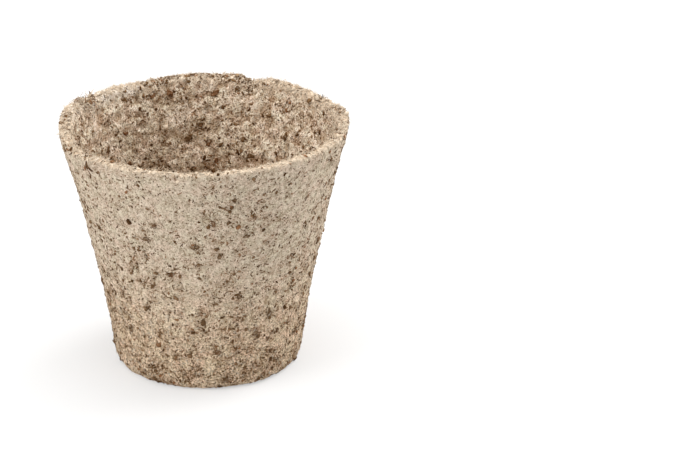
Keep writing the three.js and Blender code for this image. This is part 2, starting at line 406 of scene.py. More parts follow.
# Lumps and stains of the felt: height, size, and where in the noise each kind starts
BROAD_SWELL = (0.2, 15, (0, 0, 0))
INNER_LUMPS = (0.5, 3.6, (5, 51, 9))
INNER_GRAIN = (0.45, 1.6, (9, 1, 40))
CREST_LUMPS = (0.5, 3.2, (2, 8, 63))
CREST_GRAIN = (0.4, 1.5, (2, 60, 3))
OUTER_GRAIN = (1, 1.6, (31, 7, 3))
LIP_RAGS = (0.5, 2.0, (3, 17, 29))
STAIN_CLUSTERS = (1.1, 3.6, (0, 0, 0))
STAIN_DRIFTS = (0.6, 13, (70, 3, 8))
LUMP_FALL = 1.0
LUMP_SHRINK = 2.1
LUMP_LAYERS = 2


def lumps(place, size, start=(0, 0, 0)):
    """Even fractal noise of about one unit, with lumps of the given size."""
    return noise.fractal((place + Vector(start)) / size, LUMP_FALL, LUMP_SHRINK, LUMP_LAYERS)


def swell(place, kind):
    """How high one kind of lump is at a place."""
    height, size, start = kind
    return height * lumps(place, size, start)


# Which places count as the inside, the underside and the crest of the rim, by slope and height
INSIDE_LEAN = 0.15
INSIDE_EDGE = 1.6
UNDERSIDE_TOP = 1.5
CREST_LEAN = 0.25
CREST_LEAN_EDGE = 0.5
CREST_FOOT = 55
CREST_FOOT_EDGE = 8

# The outer wall's grain is this high at the foot and loses this much up to the rim
OUTER_GRAIN_LOW = 0.42
OUTER_GRAIN_LOSS = 0.3
CREST_FRAYED = 0.8
CREST_RISE = 0.3


def relief(place, slope):
    """How far the felt stands out, how much of that is fine, and how much the place is inside."""
    round_out = Vector((place.x, place.y, 0)).normalized()
    inside = clamp(0.5 - INSIDE_EDGE * (slope.dot(round_out) - INSIDE_LEAN))
    if place.z < UNDERSIDE_TOP and slope.z < 0:
        inside = 0
    crest = clamp((slope.z - CREST_LEAN) / CREST_LEAN_EDGE) * clamp((place.z - CREST_FOOT) / CREST_FOOT_EDGE)
    smooth = (OUTER_GRAIN_LOW - OUTER_GRAIN_LOSS * place.z / HEIGHT) * swell(place, OUTER_GRAIN)
    rough = swell(place, INNER_LUMPS) + swell(place, INNER_GRAIN)
    frayed = swell(place, CREST_LUMPS) + swell(place, CREST_GRAIN)
    fine = smooth + (rough - smooth) * inside
    fine += (frayed - fine) * crest * CREST_FRAYED
    return swell(place, BROAD_SWELL) + fine + CREST_RISE * crest, fine, inside


# The felt is stained in loose clusters, this much at the foot, and this much less at the rim
STAIN_LEVEL = 0.5
STAIN_DRIFT_LEVEL = 0.68
STAIN_LOW = 1.35
STAIN_LOSS = 0.65


def stained(place):
    """How brown and crumby the felt is at a place."""
    cluster = clamp(STAIN_LEVEL + swell(place, STAIN_CLUSTERS))
    cluster *= clamp(STAIN_DRIFT_LEVEL + swell(place, STAIN_DRIFTS))
    return cluster * (STAIN_LOW - STAIN_LOSS * place.z / HEIGHT)


# The back of the rim is brown and crumbly about one bearing, and palest about another; the rest is pale. The
# lip's paleness is partly the fibre's own and partly painted highlight
BROWN_RIM_MIDDLE = 93
BROWN_RIM_REACH = 26
BROWN_RIM_EDGE = 5
PALEST_RIM_MIDDLE = 142
PALEST_RIM_REACH = 30
PALEST_RIM_EDGE = 12


def bearing(place):
    return math.degrees(math.atan2(place.y, place.x)) % 360


def within(place, middle, reach, edge):
    """How much a place lies on the stretch of the rim about a bearing."""
    off = abs((bearing(place) - middle + 180) % 360 - 180)
    return clamp((reach - off) / edge + 0.5)


def rim_kind(place):
    """From nothing on the palest stretch of the rim, over a half, to one on the brown stretch."""
    browned = within(place, BROWN_RIM_MIDDLE, BROWN_RIM_REACH, BROWN_RIM_EDGE)
    palest_stretch = within(place, PALEST_RIM_MIDDLE, PALEST_RIM_REACH, PALEST_RIM_EDGE)
    return 0.5 + (browned - palest_stretch) / 2


# The pale lip, partly pale fibre and partly painted highlight along the top of the rim: its depth outside
# and inside, and how it fades out below that
LIP_DEPTH = 0.35
INNER_LIP_DEPTH = 1.9
LIP_LEVEL = 1.7
LIP_FADE = 1.2
RIM_STEPS = 96


def rim_heights():
    """The height of the rim at even steps round the pot."""
    tops = [0] * RIM_STEPS
    for vertex in NODES["fibre_shell"].data.vertices:
        step = round(bearing(vertex.co) / 360 * RIM_STEPS) % RIM_STEPS
        tops[step] = max(tops[step], vertex.co.z / MM)
    return tops


def lip_at(place, inside, tops):
    """How much a place belongs to the pale lip, whose lower edge is ragged."""
    along = bearing(place) / 360 * RIM_STEPS
    first = math.floor(along)
    here = tops[first % RIM_STEPS]
    ahead = tops[(first + 1) % RIM_STEPS]
    edge = here + (along - first) * (ahead - here)
    deep = LIP_DEPTH + (INNER_LIP_DEPTH - LIP_DEPTH) * inside
    return clamp(LIP_LEVEL - LIP_FADE * (edge - place.z) / deep + swell(place, LIP_RAGS))


# The felt is calmer and browner beside a chip, and nearly flat below
CHIP_NEAR = 2.0
CHIP_STAIN = 0.4
CHIP_CALM = 0.55
CHIP_DIP = 0.1
FOOT_HEIGHT = 3
BASE_LEAN = -0.7
BASE_RELIEF = 0.5
BASE_LIFT = 0.35
BASE_LOWEST = 0.05


def chip_places():
    """A search tree of the chips' places."""
    places = kdtree.KDTree(len(CHIP_NODES))
    for index, name in enumerate(CHIP_NODES):
        places.insert(centre_of(name) / MM, index)
    places.balance()
    return places


def raised(place, slope, height, near):
    """Where a place on the skin ends up, given its relief and how near a chip is."""
    calm = CHIP_CALM * near
    moved = place + slope * (height * (1 - calm) - CHIP_DIP * calm)
    if place.z < FOOT_HEIGHT:
        moved.z = max(moved.z, 0)
        if slope.z < BASE_LEAN:
            moved.z = max(BASE_LOWEST, max(place.z, BASE_LIFT) - BASE_RELIEF * height)
    return moved


def felt_shell(material):
    """The shell with its relief; its skin and stain attributes are what the finish reads."""
    piece = felt_form()
    mesh = piece.data
    for name, kind in (("skin", "FLOAT_COLOR"), ("stain", "FLOAT")):
        mesh.attributes.new(name, kind, "POINT")
    skin = mesh.attributes["skin"].data
    stain = mesh.attributes["stain"].data
    slopes = [vertex.normal.copy() for vertex in mesh.vertices]
    tops = rim_heights()
    chips = chip_places()
    for vertex, slope in zip(mesh.vertices, slopes):
        place = vertex.co / MM
        height, fine, inside = relief(place, slope)
        lip = lip_at(place, inside, tops)
        skin[vertex.index].color = (inside, lip, 0.5 + fine, rim_kind(place))
        near = clamp(CHIP_NEAR - chips.find(place)[2])
        stain[vertex.index].value = stained(place) + CHIP_STAIN * near
        vertex.co = raised(place, slope, height, near) * MM
    mesh.update()
    wear(piece, material)
    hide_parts("fibre_shell")
    return piece


def skin_of(piece):
    """A search tree of a piece's skin in millimetres."""
    corners = [vertex.co / MM for vertex in piece.data.vertices]
    faces = [tuple(face.vertices) for face in piece.data.polygons]
    return BVHTree.FromPolygons(corners, faces)


# The felt's own finish: colours of its ground, its specks and its drifts of hue, with the painted shade in
# its hollows and the partly painted highlight on its lip
OUTER_STOPS = [
    (0.36, (0.345, 0.262, 0.182)),
    (0.44, (0.55, 0.445, 0.332)),
    (0.5, (0.68, 0.57, 0.447)),
    (0.6, (0.81, 0.7, 0.567)),
]
INNER_STOPS = [
    (0.35, (0.205, 0.118, 0.055)),
    (0.4, (0.66, 0.493, 0.334)),
    (0.46, (0.9, 0.757, 0.601)),
    (0.535, (0.935, 0.83, 0.693)),
]
SPECK_STOPS = [
    (0.35, (0.115, 0.057, 0.02)),
    (0.5, (0.2, 0.11, 0.047)),
    (0.65, (0.27, 0.135, 0.062)),
]
DRIFT_STOPS = [
    (0.35, (0.97, 0.985, 0.945)),
    (0.5, (1.0, 0.99, 0.975)),
    (0.65, (1.02, 0.965, 0.955)),
]
PLAIN_TINT = (1.0, 1.0, 1.0)
LOW_WALL_TINT = (1.13, 1.05, 0.97)
# Painted shade: the felt is darkened and browned by this in the hollows of its relief
HOLLOW_SHADE = (0.5, 0.37, 0.258)
SMUDGE_TINT = (0.62, 0.505, 0.385)
DARK_DUST_TINT = (0.55, 0.48, 0.405)
PALE_DUST_TINT = (1.17, 1.19, 1.21)
# The lip's colours: pale fibre made paler still, partly painted highlight
LIP_PALE_AND_LIT = (0.9, 0.735, 0.56)
LIP_PALEST_AND_LIT = (1.0, 0.905, 0.79)

# Sizes of the felt's patterns, and the heights between which the wall turns into the browner low wall
RAG_SIZE = 0.9
RAG_REACH = 0.8
FINE_MAT_SIZE = 0.75
COARSE_MAT_SIZE = 2.2
DRIFT_SIZE = 3.2
CLOUD_SIZE = 1.6
SPECK_HUE_SIZE = 1.1
DUST_SIZE = 0.44
NAP_SIZE = 0.3
FELT_BUMP = 0.45
LOW_WALL_TOP = 45.0
LOW_WALL_FOOT = 8.0
FINE_SPECKS = {"size": 0.6, "sparse": 0.68, "dense": 0.55}
COARSE_SPECKS = {"size": 1.3, "sparse": 0.72, "dense": 0.6}
SPECK_EDGE = 0.035
SPECK_COVER = 0.85

# How far the felt's patterns show, as shares: outside and inside, on the low wall and on the lip
LOW_WALL_INSIDE = 0.2
# The painted shade in the hollows: over which relief it falls, and how much of it shows outside and inside
HOLLOW_RANGE = (0.25, 0.5)
HOLLOW_OUTSIDE = 0.5
HOLLOW_INSIDE = 0.6
LIP_COVER = 0.95
BROWN_LIP_COVER = 0.45
LIP_GRAIN_RANGE = (0.3, 0.42)
CLOUD_RANGE = (0.3, 0.7)
CLOUD_WEIGHT = 0.35
SMUDGE_RANGE = (0.35, 0.95)
SMUDGE_OUTSIDE = 0.32
SMUDGE_INSIDE = 0.4
INSIDE_GATHER = 0.25
INSIDE_SPECKS = 0.2
LOW_WALL_SPECKS = 0.3
LIP_STAIN = 0.1
LIP_DUST = 0.2
DUST_RANGE = (0.36, 0.5)
NAP_WEIGHT = 0.6
FELT_BUMP_STRENGTH = 0.8
SMOOTH_FELT_BUMP = 0.8
ROUGH_FELT_BUMP = 1.3


def matted_ground(tree, place, inside):
    """The matted fibre's colour, even outside and full of contrast inside, and its grain."""
    fine = mottle(tree, place, FINE_MAT_SIZE, detail=1.0, rough=0.7, wisps=1.4).outputs["Fac"]
    coarse = mottle(tree, place, COARSE_MAT_SIZE, detail=3.0, rough=0.7, wisps=0.8).outputs["Fac"]
    outer = ramp(tree, weigh(tree, fine, coarse, share=0.7), OUTER_STOPS)
    inner = ramp(tree, weigh(tree, fine, coarse, share=0.66), INNER_STOPS)
    return blend(tree, inside, outer, inner), weigh(tree, fine, coarse, share=0.5)


def low_down(tree, place, inside):
    """How much a place belongs to the browner low wall, which hardly shows inside."""
    rise = shade(tree, "SeparateXYZ", {"Vector": place}).outputs["Z"]
    low = stretch(tree, rise, LOW_WALL_TOP, LOW_WALL_FOOT, smooth=True)
    return reckon(tree, "MULTIPLY", low, between(tree, inside, 1.0, LOW_WALL_INSIDE))


def tinted(tree, place, low_wall, colour):
    """Soft drifts of hue, and a browner low wall."""
    drift = ramp(tree, mottle(tree, place, DRIFT_SIZE, detail=2.0).outputs["Fac"], DRIFT_STOPS)
    colour = times(tree, colour, drift)
    return times(tree, colour, blend(tree, low_wall, PLAIN_TINT, LOW_WALL_TINT))


def shaded_hollows(tree, fine, inside, colour):
    """Painted shade: the felt darker and browner in the hollows of the fine relief."""
    deep = stretch(tree, fine, *HOLLOW_RANGE, to_low=1.0, to_high=0.0, smooth=True)
    deep = reckon(tree, "MULTIPLY", deep, between(tree, inside, HOLLOW_OUTSIDE, HOLLOW_INSIDE))
    return toned(tree, deep, colour, HOLLOW_SHADE)


def lipped(tree, lip, kind, grain, colour):
    """The pale lip, partly pale fibre and partly painted highlight, worn off in the grain and on the brown
    stretch; returns how pale it is, too.
    """
    pale = reckon(tree, "MULTIPLY", lip, stretch(tree, kind, 0.5, 1.0, LIP_COVER, BROWN_LIP_COVER))
    tone = blend(tree, stretch(tree, kind, 0.0, 0.5), LIP_PALEST_AND_LIT, LIP_PALE_AND_LIT)
    tone = blend(tree, stretch(tree, grain, *LIP_GRAIN_RANGE, smooth=True), colour, tone)
    return blend(tree, pale, colour, tone), pale


def gathered(tree, ragged, stain, inside):
    """How closely smudges and specks gather: by stain, in clouds, and more of them inside."""
    cloud = mottle(tree, ragged, CLOUD_SIZE).outputs["Fac"]
    gather = reckon(tree, "ADD", stain, stretch(tree, cloud, *CLOUD_RANGE, -CLOUD_WEIGHT, CLOUD_WEIGHT))
    return reckon(tree, "ADD", gather, between(tree, inside, 0.0, INSIDE_GATHER))


def smudged(tree, gather, inside, colour):
    """Brown smudges where stains gather."""
    smudge = stretch(tree, gather, *SMUDGE_RANGE, smooth=True)
    smudge = reckon(tree, "MULTIPLY", smudge, between(tree, inside, SMUDGE_OUTSIDE, SMUDGE_INSIDE))
    return toned(tree, smudge, colour, SMUDGE_TINT)


def specks(tree, place, gather, size, sparse, dense):
    """A mask of ragged specks, which lie closer together where they gather."""
    grain = mottle(tree, place, size, detail=2.0, rough=0.7).outputs["Fac"]
    over = reckon(tree, "SUBTRACT", grain, between(tree, gather, sparse, dense))
    return stretch(tree, over, 0.0, SPECK_EDGE, smooth=True)


def specked(tree, place, ragged, gather, inside, low_wall, colour):
    """Dark specks in two sizes; the fine ones lie closer together on the low wall."""
    hue = ramp(tree, mottle(tree, place, SPECK_HUE_SIZE).outputs["Fac"], SPECK_STOPS)
    gather = reckon(tree, "ADD", gather, between(tree, inside, 0.0, INSIDE_SPECKS))
    pitted = reckon(tree, "ADD", gather, reckon(tree, "MULTIPLY", low_wall, LOW_WALL_SPECKS))
    for near, kind in ((pitted, FINE_SPECKS), (gather, COARSE_SPECKS)):
        mask = specks(tree, ragged, near, **kind)
        colour = blend(tree, reckon(tree, "MULTIPLY", mask, SPECK_COVER), colour, hue)
    return colour


def dusty(tree, ragged, rough, pale, colour):
    """Fine dark and pale dust on the rough felt, with little of it on the lip."""
    dust = mottle(tree, ragged, DUST_SIZE, detail=1.0).outputs["Fac"]
    tint = blend(tree, stretch(tree, dust, *DUST_RANGE), DARK_DUST_TINT, PALE_DUST_TINT)
    share = reckon(tree, "MULTIPLY", rough, between(tree, pale, 1.0, LIP_DUST))
    return toned(tree, share, colour, tint)


def felt_material():
    """Pressed coir felt: pale matted fibre with dark flecks, browner and rougher inside."""
    material, tree, surface = new_material("pressed_felt")
    place = millimetres(tree)
    skin = shade(tree, "Attribute", attribute_name="skin")
    parts = shade(tree, "SeparateColor", {"Color": skin.outputs["Color"]})
    inside = parts.outputs["Red"]
    stain = shade(tree, "Attribute", attribute_name="stain").outputs["Fac"]
    ragged = shaken(tree, place, RAG_SIZE, RAG_REACH)
    low_wall = low_down(tree, place, inside)
    rough = reckon(tree, "MAXIMUM", inside, low_wall)

    colour, grain = matted_ground(tree, ragged, inside)
    colour = tinted(tree, place, low_wall, colour)
    # Painted shade in the hollows of the relief
    colour = shaded_hollows(tree, parts.outputs["Blue"], inside, colour)
    colour, pale = lipped(tree, parts.outputs["Green"], skin.outputs["Alpha"], grain, colour)
    stain = reckon(tree, "MULTIPLY", stain, between(tree, pale, 1.0, LIP_STAIN))
    gather = gathered(tree, ragged, stain, inside)
    colour = smudged(tree, gather, inside, colour)
    colour = specked(tree, place, ragged, gather, inside, low_wall, colour)
    colour = dusty(tree, ragged, rough, pale, colour)
    tree.links.new(colour, surface.inputs["Base Color"])

    nap = reckon(tree, "MULTIPLY", mottle(tree, ragged, NAP_SIZE).outputs["Fac"], NAP_WEIGHT)
    height = reckon(tree, "ADD", grain, nap)
    height = reckon(tree, "MULTIPLY", height, between(tree, rough, SMOOTH_FELT_BUMP, ROUGH_FELT_BUMP))
    roughen(tree, surface, height, FELT_BUMP_STRENGTH, FELT_BUMP)
    return material


# Husk chips: what dusty and bare husk look like, and how the chips are broken and worn
DUSTED_STOPS = {
    "dark_husk": [(0.35, (0.068, 0.037, 0.017)), (0.5, (0.132, 0.077, 0.039)), (0.65, (0.28, 0.185, 0.112))],
    "red_husk": [(0.35, (0.092, 0.046, 0.021)), (0.5, (0.162, 0.085, 0.043)), (0.65, (0.3, 0.19, 0.112))],
}
BARE_STOPS = {
    "dark_husk": [(0.35, (0.072, 0.034, 0.012)), (0.5, (0.135, 0.068, 0.028)), (0.65, (0.28, 0.175, 0.095))],
    "red_husk": [(0.35, (0.1, 0.043, 0.016)), (0.5, (0.18, 0.08, 0.034)), (0.65, (0.32, 0.185, 0.1))],
}
HUSK_DUST = (0.5, 0.395, 0.29)
DUSTED_LEVEL = 0.54
BARE_LEVEL = 0.66
DUST_EDGE = 0.1
DUST_COVER = 0.85
HUSK_GRAIN_SIZE = 0.7
HUSK_DUST_SIZE = 0.6
HUSK_BUMP = 0.25
HUSK_BUMP_STRENGTH = 0.7
CHIP_CUTS = 3
CHIP_GROWTH = 1.12
CHIP_RAGGED = 0.95
CHIP_RAG_SIZE = 0.8
CHIP_WORN = 0.6
CHIP_LUMPS = (0.32, 0.7, (0, 0, 0))
CHIP_SUNK = 0.16


def husk_material(name, stops, dust_level):
    """Broken husk: streaked brown, with dust of the felt caught on it above the given level."""
    material, tree, surface = new_material(name)
    place = millimetres(tree)
    grain = mottle(tree, place, HUSK_GRAIN_SIZE).outputs["Fac"]
    dust = mottle(tree, place, HUSK_DUST_SIZE, detail=2.0, rough=0.7).outputs["Fac"]
    dust = stretch(tree, dust, dust_level, dust_level + DUST_EDGE, to_high=DUST_COVER, smooth=True)
    colour = blend(tree, dust, ramp(tree, grain, stops), HUSK_DUST)
    tree.links.new(colour, surface.inputs["Base Color"])
    roughen(tree, surface, grain, HUSK_BUMP_STRENGTH, HUSK_BUMP)
    return material


def husk_finishes(prefix, stops, dust_level):
    """One husk finish for each slot."""
    return {slot: husk_material(prefix + slot, stops[slot], dust_level) for slot in stops}


def husk_chip(node, material):
    """A broken chip: the seated flake, ragged at its edges and worn down to the felt there."""
    form = bmesh.new()
    form.from_mesh(NODES[node].data)
    bmesh.ops.remove_doubles(form, verts=form.verts, dist=WELD * MM)
    bmesh.ops.subdivide_edges(form, edges=form.edges, cuts=CHIP_CUTS, use_grid_fill=True)
    middle = centre_of(node) / MM
    out = facing(node)
    offsets = {vertex: vertex.co / MM - middle for vertex in form.verts}
    reach = max((offset - out * offset.dot(out)).length for offset in offsets.values())
    for vertex, offset in offsets.items():
        rise = offset.dot(out)
        flat = offset - out * rise
        edge = flat.length / reach
        ragged = CHIP_GROWTH + CHIP_RAGGED * edge * lumps(middle + flat, CHIP_RAG_SIZE)
        rise = rise * (1 - CHIP_WORN * edge * edge) + swell(middle + offset, CHIP_LUMPS) - CHIP_SUNK
        vertex.co = (middle + flat * ragged + out * rise) * MM
        vertex.co.z = max(0, vertex.co.z)
    piece = piece_from(node + "_broken", form)
    wear(piece, material)
    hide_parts(node)
    return piece


def bed_chips():
    """Seats every chip; those inside are bare, and the others are dusty."""
    dusted = husk_finishes("dusted_", DUSTED_STOPS, DUSTED_LEVEL)
    bare = husk_finishes("bare_", BARE_STOPS, BARE_LEVEL)
    for node in CHIP_NODES:
        finish = bare if node.startswith("inner") else dusted
        husk_chip(node, finish[SLOTS[node]])


# Where fibres and crumbs may lie on the skin
WALL_FOOT = 0.5
INNER_FLOOR_SHARE = 0.12
INNER_FLOOR_REACH = 20
INNER_FLOOR_TOP = 4
RIM_EDGE = 0.2
RIM_WIDTH = 3.6
RIM_DROP = 8
BASE_REACH = 24.5
BELOW_BASE = -10


# Each of these finds a place at random and gives it with its slope, or gives None
def on_outer_wall(skin, rng):
    turn = rng.uniform(0, FULL_TURN)
    z = rng.uniform(WALL_FOOT, HEIGHT)
    hit = skin.ray_cast(out_of(turn, 2 * TOP_RADIUS, z), -out_of(turn, 1, 0))
    return hit if hit[0] is not None and hit[0].xy.dot(out_of(turn, 1, 0).xy) > 0 else None


def on_inner_wall(skin, rng):
    turn = rng.uniform(0, FULL_TURN)
    if rng.random() < INNER_FLOOR_SHARE:
        reach = INNER_FLOOR_REACH * math.sqrt(rng.random())
        hit = skin.ray_cast(out_of(turn, reach, HEIGHT), DOWN)
    else:
        hit = skin.ray_cast(Vector((0, 0, rng.uniform(INNER_FLOOR_TOP, HEIGHT))), out_of(turn, 1, 0))
    return hit if hit[0] is not None else None


def on_walls(skin, rng):
    return on_outer_wall(skin, rng) if rng.random() < 0.5 else on_inner_wall(skin, rng)


def on_rim(skin, rng, first=0, last=360, width=RIM_WIDTH):
    turn = math.radians(rng.uniform(first, last))
    reach = TOP_RADIUS - rng.uniform(RIM_EDGE, width)
    hit = skin.ray_cast(out_of(turn, reach, 2 * HEIGHT), DOWN)
    return hit if hit[0] is not None and hit[0].z > HEIGHT - RIM_DROP else None


def on_rim_between(first, last, width=RIM_WIDTH):
    """A finder of places on one stretch of the rim."""
    return lambda skin, rng: on_rim(skin, rng, first, last, width)


def on_base(skin, rng):
    turn = rng.uniform(0, FULL_TURN)
    reach = BASE_REACH * math.sqrt(rng.random())
    hit = skin.ray_cast(out_of(turn, reach, BELOW_BASE), UP)
    return hit if hit[0] is not None and hit[0].z < FOOT_HEIGHT else None


# Shares of the finest grit that lie anywhere, among the stains and low down, and the least share of crumbs
GRIT_ANYWHERE = 0.25
GRIT_IN_STAINS = 0.6
GRIT_LOW_DOWN = 0.35
FEWEST_CRUMBS = 0.1


# Each of these gives the share of the places found that is used
def everywhere(place):
    return 1


def gritty(place):
    """More low down and among the stains."""
    low = 1 - place.z / HEIGHT
    return clamp(GRIT_ANYWHERE + GRIT_IN_STAINS * stained(place) + GRIT_LOW_DOWN * low)


def clustered(place):
    """Most where the felt is stained."""
    return max(FEWEST_CRUMBS, stained(place))


def sites(skin, where, share, count, rng):
    """The given number of places on one part of the skin, with their slopes."""
    found = []
    while len(found) < count:
        hit = where(skin, rng)
        if hit is not None and rng.random() < share(hit[0]):
            found.append((hit[0], hit[1]))
    return found


# Coir in every tone: each fibre or crumb is mapped to a narrow column of its tone
TONES = 48
COLUMN_EDGE = 0.2
COLUMN_STEP = 0.3
WEAR_SIZE = 1 / 60
WEAR_RANGE = (0.3, 0.7)
STRAND_WEAR = (0.85, 1.12)
CRUMB_WEAR = (0.7, 1.3)


def pick_tone(mix, rng):
    """A tone from a mix of (share, tone) pairs, a little off."""
    tone = rng.choices(mix, [share for share, _ in mix])[0][1] + rng.gauss(0, TONE_STRAY)
    return min(1 - LEAST_TONE, max(LEAST_TONE, tone))


def bake_map(piece):
    """The one map that a fibre or crumb piece has."""
    for layer in list(piece.data.uv_layers):
        piece.data.uv_layers.remove(layer)
    return piece.data.uv_layers.new(name="OFBake").data


def in_column(tone, side):
    """Where one of three sides lies across a tone's column."""
    return (int(tone * TONES) + COLUMN_EDGE + COLUMN_STEP * side) / TONES


def coir_material(name, stops, worn):
    """Coir in every tone, read from the piece's own map, with wear along each fibre or crumb."""
    material, tree, surface = new_material(name)
    map_of = shade(tree, "UVMap", uv_map="OFBake").outputs["UV"]
    tone = ramp(tree, shade(tree, "SeparateXYZ", {"Vector": map_of}).outputs["X"], stops)
    grain = mottle(tree, map_of, WEAR_SIZE, detail=2.0).outputs["Fac"]
    wear_of = grey(tree, stretch(tree, grain, *WEAR_RANGE, *worn))
    tree.links.new(times(tree, tone, wear_of), surface.inputs["Base Color"])
    return material


# Loose fibres: three-cornered strands that rest on the skin and dip their ends into it
STRAND_POINTS = 5
STRAND_CORNERS = 3
STRAND_REST = 0.04
STRAND_DIP = -0.08
STRAND_END = 0.6
STRAND_ROW = 0.2
LEAST_LIFT = 0.3


def strand_path(skin, start, slope, length, loose, bend, rng):
    """Points of a fibre that creeps along the skin, dips its ends in, and may lift its tip."""
    side = slope.orthogonal().normalized()
    heading = Matrix.Rotation(rng.uniform(0, FULL_TURN), 3, slope) @ side
    curl = rng.gauss(0, bend)
    last = STRAND_POINTS - 1
    points = []
    place = start
    for index in range(STRAND_POINTS):
        near, slope, _, _ = skin.find_nearest(place)
        along = index / last
        lift = STRAND_REST + loose * along * along
        if index == 0 or (index == last and loose == 0):
            lift = STRAND_DIP
        point = near + slope * lift
        point.z = max(point.z, 2 * BASE_LOWEST)
        points.append(point)
        heading = (heading - slope * heading.dot(slope)).normalized()
        heading = Matrix.Rotation(curl, 3, slope) @ heading
        place = near + heading * (length / last)
    return points


def strand_section():
    """The section that all fibres share, one unit across."""
    section = bpy.data.curves.new("strand_section", "CURVE")
    section.dimensions = "2D"
    outline = section.splines.new("POLY")
    outline.points.add(STRAND_CORNERS - 1)
    for corner, point in enumerate(outline.points):
        turn = FULL_TURN * corner / STRAND_CORNERS
        point.co = (0.5 * math.cos(turn), 0.5 * math.sin(turn), 0, 1)
    outline.use_cyclic_u = True
    return link(bpy.data.objects.new("strand_section", section))


def lay_strands(skin, material, name, where, count, seed, length, thick, loose, mix, lifted=0.35, bend=0.3):
    """Felts one family of fibres onto the skin; the lifted share of them raise their tips when loose."""
    rng = random.Random(seed)
    section = strand_section()
    bundle = bpy.data.curves.new(name, "CURVE")
    bundle.dimensions = "3D"
    bundle.bevel_mode = "OBJECT"
    bundle.bevel_object = section
    bundle.use_fill_caps = True
    tones = []
    for start, slope in sites(skin, where, everywhere, count, rng):
        tip = rng.uniform(LEAST_LIFT, 1) * loose if rng.random() < lifted else 0
        path = strand_path(skin, start, slope, rng.uniform(*length), tip, bend, rng)
        strand = bundle.splines.new("POLY")
        strand.points.add(STRAND_POINTS - 1)
        width = rng.uniform(*thick) * MM
        for index, point in enumerate(strand.points):
            point.co = (*(path[index] * MM), 1)
            point.radius = width * (STRAND_END if index in (0, STRAND_POINTS - 1) else 1)
        tones.append(pick_tone(mix, rng))
    piece = settle(link(bpy.data.objects.new(name, bundle)))
    bpy.data.objects.remove(section)
    paint_strands(piece, tones)
    return wear(piece, material)


def paint_strands(piece, tones):
    """Maps each fibre to its tone's column, along its own length."""
    mapped = bake_map(piece)
    each = len(piece.data.vertices) // len(tones)
    for loop in piece.data.loops:
        strand, corner = divmod(loop.vertex_index, each)
        along, side = divmod(corner, STRAND_CORNERS)
        mapped[loop.index].uv = (in_column(tones[strand], side), (STRAND_ROW + along) / STRAND_POINTS)


# Crumbs of husk: knocked grains, longer than wide; a seat is the share of the thickness that a crumb sinks
CRUMB_FACES = 20
CRUMB_CORNERS = 12
CRUMB_BATCH = 30
LARGEST_CRUMB = 1.8
CRUMB_LENGTHS = (0.85, 1.25)
CRUMB_SLIMNESS = (1.2, 3.0)
CRUMB_LEAST = 0.16
CRUMB_FLATNESS = 0.55
CRUMB_SEATS = (0.2, 0.15, 0.0, -0.3)
CRUMB_KNOCK = 0.16
CRUMB_SEED = 21

# Dark clumps of crumbs with no chip in them
CLUMPS = [
    {"bearing": 74.5, "height": 67, "radius": 36.4},
    {"bearing": 129, "height": 67, "radius": 36.4},
    {"bearing": 68.4, "height": 66, "radius": 36.7},
    {"bearing": 301.5, "height": 2, "radius": 26.4},
    {"bearing": 257, "height": 3, "radius": 26.6},
    {"bearing": 236, "height": 5, "radius": 26.8},
]


def crumb(form, place, slope, size, rng):
    """One crumb, lying flat in the skin and knocked uneven."""
    long = size * rng.uniform(*CRUMB_LENGTHS)
    wide = long / rng.uniform(*CRUMB_SLIMNESS)
    thick = max(CRUMB_LEAST, CRUMB_FLATNESS * wide)
    lie = slope.to_track_quat("Z", "Y").to_matrix().to_4x4()
    turn = Matrix.Rotation(rng.uniform(0, math.pi), 4, "Z")
    sunk = rng.choice(CRUMB_SEATS)
    seat = Matrix.Translation(place - slope * sunk * thick)
    shape = seat @ lie @ turn @ Matrix.Diagonal((long, wide, thick, 1))
    made = bmesh.ops.create_icosphere(form, subdivisions=1, radius=0.5, matrix=shape)
    for vertex in made["verts"]:
        knock = Vector((rng.uniform(-1, 1), rng.uniform(-1, 1), rng.uniform(-1, 1)))
        vertex.co = (vertex.co + knock * CRUMB_KNOCK * wide) * MM
        vertex.co.z = max(vertex.co.z, BASE_LOWEST / 2 * MM)


def lay_crumbs(skin, rng, name, places, size, spread, mix, material):
    """Beds one family of crumbs; sizes spread about the middle size."""
    found = places(skin, rng)
    form = bmesh.new()
    tones = []
    for first in range(0, len(found), CRUMB_BATCH):
        batch = bmesh.new()
        for place, slope in found[first:first + CRUMB_BATCH]:
            drawn = rng.lognormvariate(math.log(size), spread)
            crumb(batch, place, slope, min(LARGEST_CRUMB, drawn), rng)
            tones.append(pick_tone(mix, rng))
        add_mesh(form, batch)
    piece = piece_from(name, form)
    paint_crumbs(piece, tones)
    return wear(piece, material)


def paint_crumbs(piece, tones):
    """Maps each crumb to its tone's column, corner by corner."""
    mapped = bake_map(piece)
    for face in piece.data.polygons:
        tone = tones[face.index // CRUMB_FACES]
        for side, loop in enumerate(face.loop_indices):
            corner = piece.data.loops[loop].vertex_index % CRUMB_CORNERS
            mapped[loop].uv = (in_column(tone, side), (0.5 + corner) / CRUMB_CORNERS)


def scattered(skin, middles, each, reach, rng):
    """Places strewn on the skin about each middle."""
    found = []
    for middle in middles:
        for _ in range(each):
            stray = Vector((rng.gauss(0, reach), rng.gauss(0, reach), rng.gauss(0, reach)))
            near, slope, *_ = skin.find_nearest(middle + stray)
            found.append((near, slope))
    return found


# Each of these gives a finder of all places of one family of crumbs
def strewn(where, share, count):
    return lambda skin, rng: sites(skin, where, share, count, rng)


def beside_chips(each, reach):
    """Crumbs that broke off round each chip."""
    middles = [centre_of(name) / MM for name in CHIP_NODES]
    return lambda skin, rng: scattered(skin, middles, each, reach, rng)


def in_clumps(each, reach):
    """Dark clumps with no chip in them."""
    middles = [out_of(math.radians(clump["bearing"]), clump["radius"], clump["height"]) for clump in CLUMPS]
    return lambda skin, rng: scattered(skin, middles, each, reach, rng)


